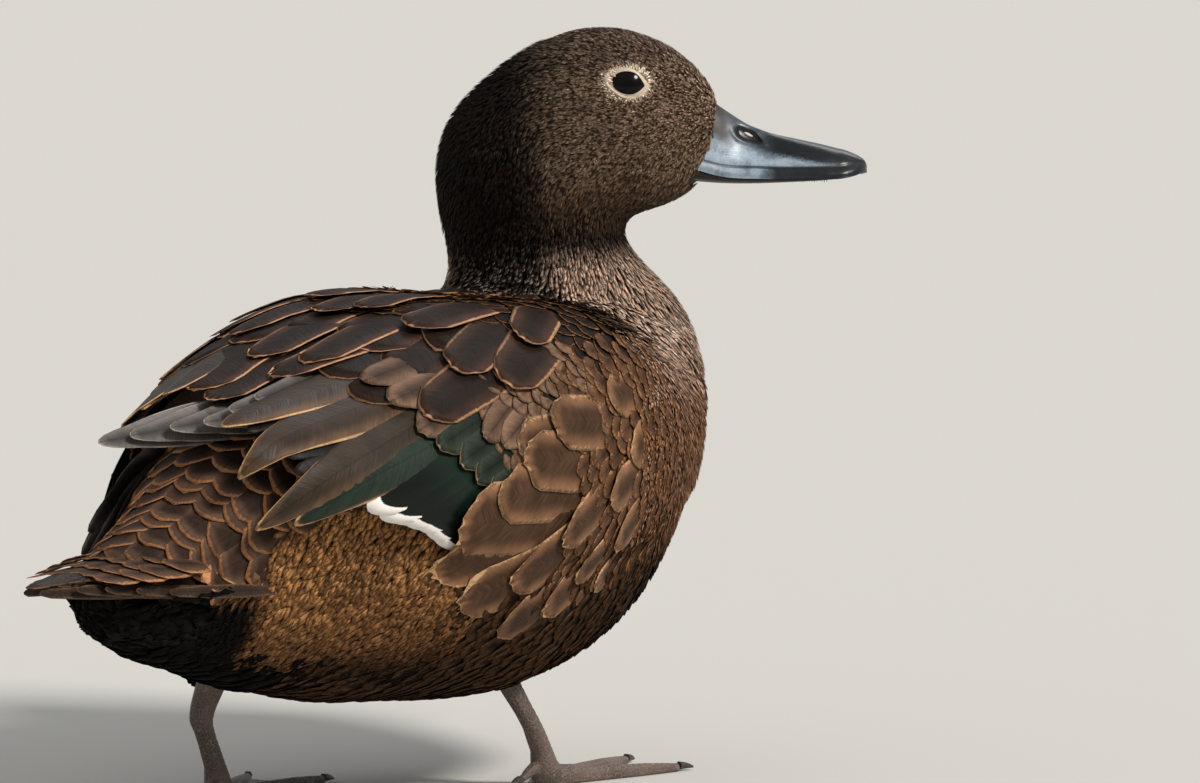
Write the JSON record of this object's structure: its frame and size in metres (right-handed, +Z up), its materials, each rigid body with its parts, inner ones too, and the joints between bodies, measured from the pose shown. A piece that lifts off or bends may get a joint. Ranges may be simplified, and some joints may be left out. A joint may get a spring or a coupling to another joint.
{
  "type": "brown teal duck model",
  "caption": "Still, life-size brown teal in mid-step with its head turned to its right, standing on two webbed feet.",
  "frame": {"origin": "under the middle of the box round the whole bird, on the floor", "axes": "+X ahead of the breast, +Y to the bird's left, +Z up"},
  "size_m": [0.3014, 0.1358, 0.1874],
  "materials": {
    "plumage": "soft dark brown feathers with tan edges",
    "breast_plumage": "soft warm brown feathers with dark middles",
    "flight_feathers": "smooth dark brown feathers",
    "bill": "glossy blue-grey horn",
    "eye": "wet near-black",
    "foot": "scaled grey-brown skin",
    "claw": "dark horn"
  },
  "bodies": {
    "root": {"trunk": "breast_plumage", "neck": "plumage", "head": "plumage", "bill_upper": "bill", "bill_lower": "bill", "eye_left": "eye", "eye_right": "eye", "wing_left": "plumage", "wing_right": "plumage", "tail": "flight_feathers", "leg_left": "foot", "leg_right": "foot", "foot_left": "foot", "foot_right": "foot", "claw_left_inner": "claw", "claw_left_middle": "claw", "claw_left_outer": "claw", "claw_left_hind": "claw", "claw_right_inner": "claw", "claw_right_middle": "claw", "claw_right_outer": "claw", "claw_right_hind": "claw"}
  },
  "joints": []
}
